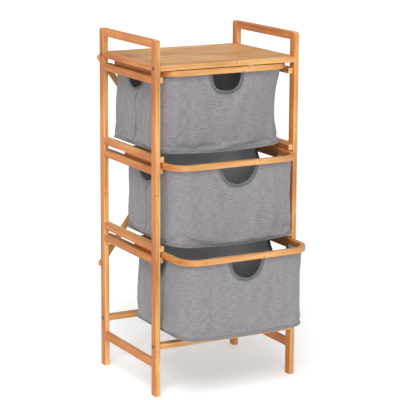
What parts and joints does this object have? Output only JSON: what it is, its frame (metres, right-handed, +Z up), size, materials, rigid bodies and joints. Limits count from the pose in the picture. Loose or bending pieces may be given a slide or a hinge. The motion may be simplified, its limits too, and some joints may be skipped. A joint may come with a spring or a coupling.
{
  "type": "laundry sorter",
  "caption": "Tall bamboo laundry sorter with an open frame, a top shelf and three grey fabric baskets on bent bamboo rims that slide out at the front.",
  "frame": {"origin": "on the floor, at the middle of the bounding box of the whole rack with its baskets as at rest", "axes": "+Z up, -Y towards the front where the baskets come out, +X to the right seen from the front"},
  "size_m": [0.4488, 0.4754, 0.97],
  "materials": {
    "bamboo": "satin clear lacquer",
    "bag_fabric": "heather grey polyester with a slubbed weave",
    "binding_tape": "dark grey woven binding tape",
    "covered_board": "stiff board covered in dark grey non-woven cloth",
    "fastener_steel": "bronze plated",
    "beech": "plain dowel"
  },
  "bodies": {
    "frame": {"left_front_post": "bamboo", "left_rear_post": "bamboo", "left_top_rail": "bamboo", "left_shelf_rail": "bamboo", "left_foot_rail": "bamboo", "left_rail_1_lower": "bamboo", "left_rail_2_lower": "bamboo", "left_rail_2_upper": "bamboo", "left_rail_3_lower": "bamboo", "left_rail_3_upper": "bamboo", "left_guide_1_lower": "bamboo", "left_guide_2_lower": "bamboo", "left_guide_2_upper": "bamboo", "left_guide_3_lower": "bamboo", "left_guide_3_upper": "bamboo", "right_front_post": "bamboo", "right_rear_post": "bamboo", "right_top_rail": "bamboo", "right_shelf_rail": "bamboo", "right_foot_rail": "bamboo", "right_rail_1_lower": "bamboo", "right_rail_2_lower": "bamboo", "right_rail_2_upper": "bamboo", "right_rail_3_lower": "bamboo", "right_rail_3_upper": "bamboo", "right_guide_1_lower": "bamboo", "right_guide_2_lower": "bamboo", "right_guide_2_upper": "bamboo", "right_guide_3_lower": "bamboo", "right_guide_3_upper": "bamboo", "shelf_front_bar": "bamboo", "front_crossbar": "bamboo", "shelf_rear_bar": "bamboo", "rear_crossbar": "bamboo", "shelf_panel": "bamboo", "brace_rising_right": "bamboo", "brace_rising_left": "bamboo", "frame_bolts": "fastener_steel", "barrel_nuts": "fastener_steel", "brace_screws": "fastener_steel", "guide_screws": "fastener_steel", "frame_dowels": "beech"},
    "top_basket": {"basket_1_rim": "bamboo", "basket_1_bag": "bag_fabric", "basket_1_bindings": "binding_tape", "basket_1_base_board": "covered_board"},
    "middle_basket": {"basket_2_rim": "bamboo", "basket_2_bag": "bag_fabric", "basket_2_bindings": "binding_tape", "basket_2_base_board": "covered_board"},
    "bottom_basket": {"basket_3_rim": "bamboo", "basket_3_bag": "bag_fabric", "basket_3_bindings": "binding_tape", "basket_3_base_board": "covered_board"}
  },
  "joints": [
    {"name": "top_basket_slide", "type": "slide", "parent": "frame", "child": "top_basket", "axis": [0, -1, 0], "range_m": [-0.005, 0.195]},
    {"name": "middle_basket_slide", "type": "slide", "parent": "frame", "child": "middle_basket", "axis": [0, -1, 0], "range_m": [-0.066, 0.134]},
    {"name": "bottom_basket_slide", "type": "slide", "parent": "frame", "child": "bottom_basket", "axis": [0, -1, 0], "range_m": [-0.125, 0.075]}
  ]
}
